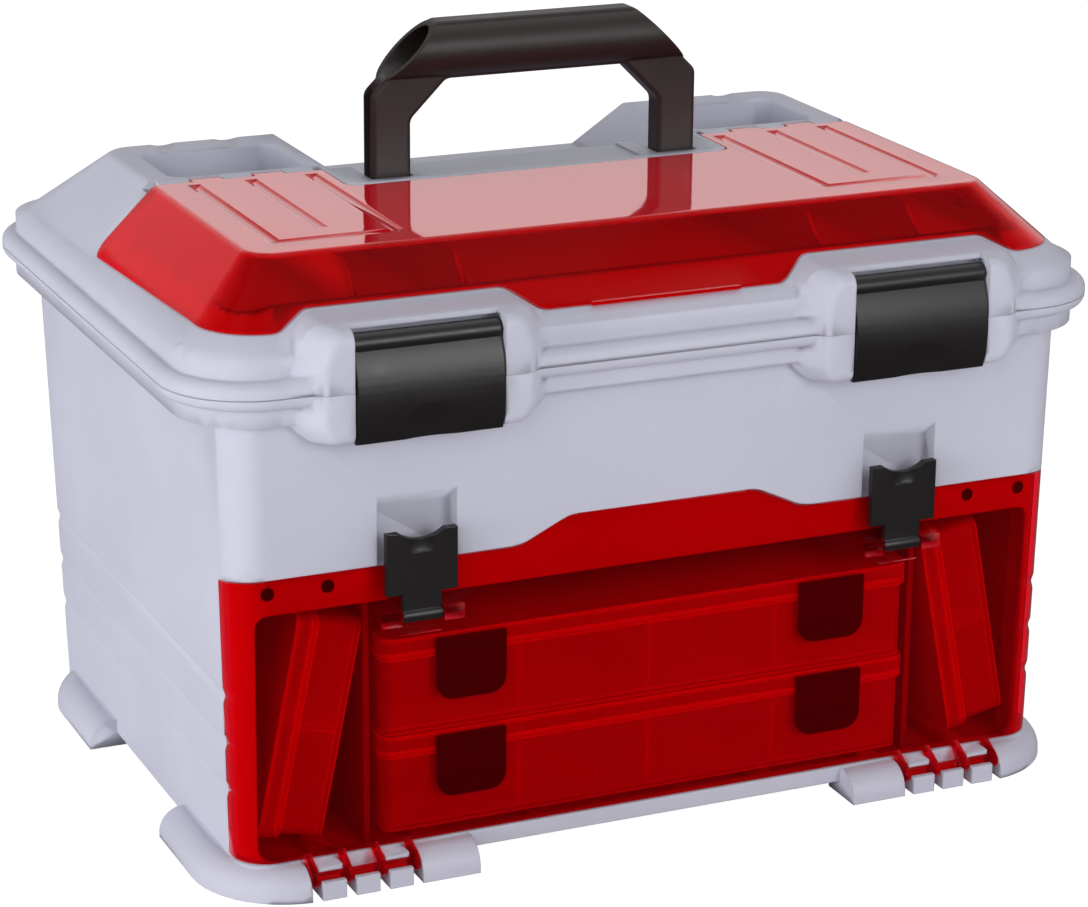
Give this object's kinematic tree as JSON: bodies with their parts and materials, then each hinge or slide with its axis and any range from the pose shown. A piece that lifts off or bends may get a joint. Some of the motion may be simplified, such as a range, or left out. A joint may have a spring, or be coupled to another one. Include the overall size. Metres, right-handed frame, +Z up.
{
  "type": "front-loading tool box",
  "caption": "Plastic tool box with a see-through drop-down front door over storage boxes, a latched lid with a hinged clear cover, open wells and a folding carry handle.",
  "frame": {"origin": "on the floor below the centre of the box's bounding box", "axes": "+Z up, the door and latches face -Y, +X to the viewer's right"},
  "size_m": [0.476, 0.351, 0.372],
  "materials": {
    "grey_plastic": "fine moulded texture, light bluish grey",
    "red_clear": "see-through glossy red",
    "black_plastic": "satin brownish black",
    "box_clear": "milky clear",
    "box_latch_dark": "satin",
    "inner_grey": "plain moulded",
    "steel": "plain drawn wire"
  },
  "bodies": {
    "body": {"body_shell": "grey_plastic", "mid_deck": "inner_grey", "deck_screws": "steel", "bay_partition_left": "inner_grey", "bay_partition_right": "inner_grey", "lid_hinge_pin_left": "steel", "lid_hinge_pin_right": "steel"},
    "lid": {"lid_shell": "grey_plastic", "lid_latch_pin_left": "steel", "lid_latch_pin_right": "steel", "cover_hinge_pin_left": "steel", "cover_hinge_pin_right": "steel", "handle_pin_left": "steel", "handle_pin_right": "steel"},
    "door": {"front_door": "red_clear"},
    "door_latch_l": {"door_latch_left": "black_plastic"},
    "door_latch_r": {"door_latch_right": "black_plastic"},
    "lid_latch_l": {"lid_latch_left": "black_plastic"},
    "lid_latch_r": {"lid_latch_right": "black_plastic"},
    "cover": {"lid_cover": "red_clear"},
    "handle": {"carry_handle": "black_plastic"},
    "lower_box": {"lower_box_tray": "box_clear", "lower_box_lid": "box_clear", "lower_box_dividers": "box_clear", "lower_box_latches": "box_latch_dark"},
    "upper_box": {"upper_box_tray": "box_clear", "upper_box_lid": "box_clear", "upper_box_dividers": "box_clear", "upper_box_latches": "box_latch_dark"},
    "left_box": {"left_box_tray": "box_clear", "left_box_lid": "box_clear", "left_box_dividers": "box_clear", "left_box_latches": "box_latch_dark"},
    "right_box": {"right_box_tray": "box_clear", "right_box_lid": "box_clear", "right_box_dividers": "box_clear", "right_box_latches": "box_latch_dark"}
  },
  "joints": [
    {"name": "lid_hinge", "type": "hinge", "parent": "body", "child": "lid", "pos_m": [0, 0.1705, 0.2445], "axis": [-1, 0, 0], "range_deg": [0, 100]},
    {"name": "door_hinge", "type": "hinge", "parent": "body", "child": "door", "pos_m": [0, -0.1655, 0.009], "axis": [1, 0, 0], "range_deg": [0, 90]},
    {"name": "cover_hinge", "type": "hinge", "parent": "lid", "child": "cover", "pos_m": [0, 0.027, 0.2935], "axis": [-1, 0, 0], "range_deg": [0, 32]},
    {"name": "handle_pivot", "type": "hinge", "parent": "lid", "child": "handle", "pos_m": [0, 0.0041, 0.2815], "axis": [-1, 0, 0], "range_deg": [0, 88]},
    {"name": "door_latch_l_pivot", "type": "hinge", "parent": "door", "child": "door_latch_l", "pos_m": [-0.12575, -0.1611, 0.131], "axis": [1, 0, 0], "range_deg": [0, 100]},
    {"name": "lid_latch_l_pivot", "type": "hinge", "parent": "lid", "child": "lid_latch_l", "pos_m": [-0.1255, -0.1655, 0.265], "axis": [-1, 0, 0], "range_deg": [0, 100]},
    {"name": "door_latch_r_pivot", "type": "hinge", "parent": "door", "child": "door_latch_r", "pos_m": [0.12575, -0.1611, 0.131], "axis": [1, 0, 0], "range_deg": [0, 100]},
    {"name": "lid_latch_r_pivot", "type": "hinge", "parent": "lid", "child": "lid_latch_r", "pos_m": [0.1255, -0.1655, 0.265], "axis": [-1, 0, 0], "range_deg": [0, 100]},
    {"name": "lower_box_slide", "type": "slide", "parent": "body", "child": "lower_box", "axis": [0, -1, 0], "range_m": [0, 0.0032]},
    {"name": "upper_box_slide", "type": "slide", "parent": "body", "child": "upper_box", "axis": [0, -1, 0], "range_m": [0, 0.0032]},
    {"name": "left_box_slide", "type": "slide", "parent": "body", "child": "left_box", "axis": [0, -1, 0], "range_m": [0, 0.0032]},
    {"name": "right_box_slide", "type": "slide", "parent": "body", "child": "right_box", "axis": [0, -1, 0], "range_m": [0, 0.0032]}
  ]
}
